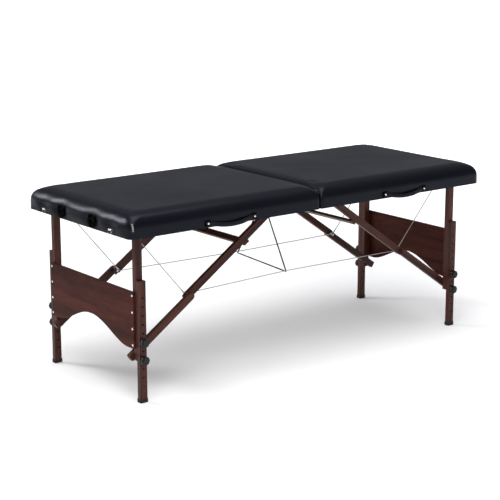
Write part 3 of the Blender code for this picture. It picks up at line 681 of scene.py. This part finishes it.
# ---- screws and knee fittings --------------------------------------------------------------
def panel_screws(end, h):
    lo, hi = (Vector(c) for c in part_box("end_panel_" + end))
    x = hi.x if h > 0 else lo.x

    def build(bm):
        for y in (lo.y + 0.0075, hi.y - 0.0075):
            for z in (0.424, 0.358, 0.292, 0.228):
                rod(bm, (x - h * 0.0012, y, z), (x + h * 0.0002, y, z), 0.0050, 0.0047, 18)
                rod(bm, (x + h * 0.0001, y, z), (x + h * 0.0009, y, z), 0.0047, 0.0030, 18)
    heads = new_object("panel_screws_" + end, mesh_from(build, "screws"), SCREW)
    smooth(heads, 30.0)
    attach(heads, "legs_" + end)


EYES = {}
for end, h in ENDS:
    panel_screws(end, h)
    for side, s in SIDES:
        lo, hi = (Vector(c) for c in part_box("knee_eye_%s_%s" % (end, side)))
        # the ring hangs at the inner end of the eye bolt
        y = (lo.y if s > 0 else hi.y) + s * 0.0091
        EYES[end, side] = Vector(((lo.x + hi.x) / 2, y, (lo.z + hi.z) / 2))


def knee_plate(end, h, side, s):
    """Dark steel plate under the eye bolt's washer, with a nut on its thread."""
    c = EYES[end, side]
    slope = Matrix.Rotation(h * SLOPE, 4, "Y")
    face = c.y + s * 0.0130

    def plate(bm):
        made = bmesh.ops.create_cube(bm, size=1.0)["verts"]
        for v in made:
            v.co = Vector((v.co.x * 0.040, v.co.y * 0.0012, v.co.z * 0.022))
        bmesh.ops.transform(bm, matrix=Matrix.Translation((c.x, face - s * 0.0006, c.z)) @ slope, verts=made)
    ob = new_object("knee_plate_%s_%s" % (end, side), mesh_from(plate, "plate"), BLACK_STEEL)
    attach(ob, "struts_up_" + end)

    def nut(bm):
        rod(bm, (c.x, c.y + s * 0.0085, c.z), (c.x, c.y + s * 0.0106, c.z), 0.0062, 0.0062, 6)
    ob = new_object("knee_nut_%s_%s" % (end, side), mesh_from(nut, "nut"), CHROME)
    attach(ob, "struts_up_" + end)


for end, h in ENDS:
    for side, s in SIDES:
        knee_plate(end, h, side, s)


# ---- cables and elastic --------------------------------------------------------------------
WIRE_R, ELASTIC_R = 0.0018, 0.0029


def pull_point(side, s):
    """Where the elastic holds the main cable, a little up on the near side and down on the far."""
    x, lift = (-0.055, 0.010) if s < 0 else (0.030, -0.006)
    a, b = EYES["head", side], EYES["foot", side]
    p = a.lerp(b, (x + SHIFT.x - a.x) / (b.x - a.x))
    p.z += lift
    return p


def cable(side, s):
    node = "steel_cable_" + side
    pull = pull_point(side, s)
    middle = SHIFT.x
    a, b = EYES["head", side], EYES["foot", side]
    ends = (pull, b) if pull.x < middle else (a, pull)
    cross = ends[0].lerp(ends[1], (middle - ends[0].x) / (ends[1].x - ends[0].x))
    for end, h in ENDS:
        eye = EYES[end, side]
        top = Vector((h * 0.842 + SHIFT.x, eye.y, 0.670))
        stay = tube("stay_%s_%s" % (end, side), between(eye, top, 24), WIRE_R, CABLE)
        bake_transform(stay)
        path = between(eye, pull, 12) + between(pull, cross, 3)[1:] if (pull.x - middle) * h > 0 \
            else between(eye, cross, 14)
        run = tube("run_%s_%s" % (end, side), path, WIRE_R, CABLE)
        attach(run, "struts_up_" + end)
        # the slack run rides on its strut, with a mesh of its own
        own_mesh(run)
        for piece in (stay, run):
            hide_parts(node)


def ferrules(end, h, side, s):
    """Crimped sleeves beside the anchor and the eye."""
    eye = EYES[end, side]
    top = Vector((h * 0.842 + SHIFT.x, eye.y, 0.670))
    d = (top - eye).normalized()

    def at_eye(bm):
        rod(bm, eye + d * 0.010, eye + d * 0.024, 0.0026, 0.0026, 14)

    def at_top(bm):
        rod(bm, top - d * 0.018, top - d * 0.003, 0.0026, 0.0026, 14)
    for name, build, body in (("ferrule_low", at_eye, "struts_up_"), ("ferrule_top", at_top, "half_")):
        ob = new_object("%s_%s_%s" % (name, end, side), mesh_from(build, name), STEEL)
        smooth(ob, 30.0)
        if name == "ferrule_low":
            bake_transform(ob)
        else:
            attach(ob, body + end)


def elastic():
    near, far = (pull_point(side, s) for side, s in SIDES)
    clear = WIRE_R + ELASTIC_R + 0.0003
    beside = Vector((0, clear + 0.0030, 0.0030))
    below = Vector((0, clear, -clear))
    flip = Vector((1, -1, 1))
    apex = Vector((0.0, 0.0, 0.650 - 0.0045 - ELASTIC_R - 0.0006)) + SHIFT
    stops = [apex + Vector((-0.0034, -0.001, 0)), near + beside, near + below, far + below * flip,
             far + beside * flip, apex + Vector((0.0034, 0.001, 0))]
    path = [stops[0]]
    for a, b in zip(stops, stops[1:]):
        path += between(a, b, max(1, int((b - a).length / 0.03)))[1:]
    cord = tube("elastic", path, ELASTIC_R, ELASTIC)
    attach(cord, "half_head")
    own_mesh(cord)
    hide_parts("elastic_cord")


for side, s in SIDES:
    cable(side, s)
    for end, h in ENDS:
        ferrules(end, h, side, s)
elastic()


# ---- floor and light -----------------------------------------------------------------------
def studio():
    me = mesh_from(lambda bm: bmesh.ops.create_grid(bm, x_segments=1, y_segments=1, size=40.0), "floor")
    ground = Shade("pale_floor", (0.86, 0.86, 0.86), 0.75)
    # away from the table the floor is as white as the backdrop it meets
    far = ground.tree.nodes.new("ShaderNodeVectorMath")
    far.operation = "LENGTH"
    ground.join(ground.coords((1.0, 1.0, 1.0)), "Vector", far, 0)
    white = ground.ramp(((0.20, (0.07, 0.07, 0.07)), (0.46, (0.90, 0.90, 0.90))))
    near = ground.tree.nodes.new("ShaderNodeMath")
    near.operation = "DIVIDE"
    near.inputs[1].default_value = 10.0
    ground.join(far, "Value", near, 0)
    ground.join(near, "Value", white, "Fac")
    ground.join(white, "Color", ground.bsdf, "Emission Color")
    ground.bsdf.inputs["Emission Strength"].default_value = 1.0
    floor = new_object("floor", me, ground.mat)
    floor.location.z = -0.0004
    world = bpy.data.worlds.new("studio")
    world.use_nodes = True
    # a dim bluish sky low down, which the pads' tops mirror, and a brighter one overhead
    sky = world.node_tree
    facing = sky.nodes.new("ShaderNodeTexCoord")
    split = sky.nodes.new("ShaderNodeSeparateXYZ")
    band = sky.nodes.new("ShaderNodeValToRGB")
    stops = ((0.62, (0.235, 0.240, 0.262)), (0.94, (0.62, 0.63, 0.65)))
    for element, (at, color) in zip(band.color_ramp.elements, stops):
        element.position = at
        element.color = (*color, 1.0)
    sky.links.new(facing.outputs["Generated"], split.inputs["Vector"])
    sky.links.new(split.outputs["Z"], band.inputs["Fac"])
    # seen directly the surroundings are plain white, from every side
    seen = sky.nodes.new("ShaderNodeLightPath")
    pick = sky.nodes.new("ShaderNodeMix")
    pick.data_type = "RGBA"
    pick.inputs[7].default_value = (1.0, 1.0, 1.0, 1.0)
    sky.links.new(seen.outputs["Is Camera Ray"], pick.inputs["Factor"])
    sky.links.new(band.outputs["Color"], pick.inputs[6])
    sky.links.new(pick.outputs[2], sky.nodes["Background"].inputs["Color"])
    sky.nodes["Background"].inputs["Strength"].default_value = 1.0
    scene.world = world
    ahead = Vector((0.616, 0.788, 0.0))
    wall = mesh_from(lambda bm: bmesh.ops.create_grid(bm, x_segments=1, y_segments=1, size=1.0), "backdrop")
    glow = Shade("backdrop_white", (0.9, 0.9, 0.9), 0.9)
    glow.bsdf.inputs["Emission Color"].default_value = (0.97, 0.98, 1.0, 1.0)
    glow.bsdf.inputs["Emission Strength"].default_value = 0.98
    wall = new_object("backdrop", wall, glow.mat)
    wall.scale = (11.0, 0.85, 1.0)
    wall.location = ahead * 7.0 + Vector((0, 0, 0.80))
    wall.rotation_euler = (radians(90.0), 0.0, -math.atan2(ahead.x, ahead.y))
    wall.visible_glossy = False
    # a dark card beside the head end keeps the bright floor out of its upright face
    card = mesh_from(lambda bm: bmesh.ops.create_grid(bm, x_segments=1, y_segments=1, size=1.0), "card")
    card = new_object("dark_card", card, plain("card_black", (0.004, 0.004, 0.004), 0.9, spec=0.0))
    card.scale = (1.5, 1.6, 1.0)
    card.location = (-3.2, 2.9, 0.004)
    card.visible_camera = False
    card.visible_shadow = False
    for name, place, aim, size, power in (("key", (-2.4, -2.6, 4.4), (0, 0, 0.5), 3.0, 110.0),
                                          ("over", (-0.3, -0.2, 5.2), (0.1, 0.2, 0.0), 4.0, 200.0),
                                          ("front", (-2.6, -4.4, 3.6), (-0.8, -1.2, 0.0), 3.0, 80.0),
                                          ("end", (-3.4, 4.3, 3.1), (-0.9, 0, 0.7), 1.6, 145.0)):
        data = bpy.data.lights.new(name, "AREA")
        data.shape = "SQUARE"
        data.size = size
        data.energy = power
        ob = bpy.data.objects.new(name, data)
        scene.collection.objects.link(ob)
        ob.location = place
        ob.rotation_euler = (Vector(aim) - Vector(place)).to_track_quat("-Z", "Y").to_euler()


studio()
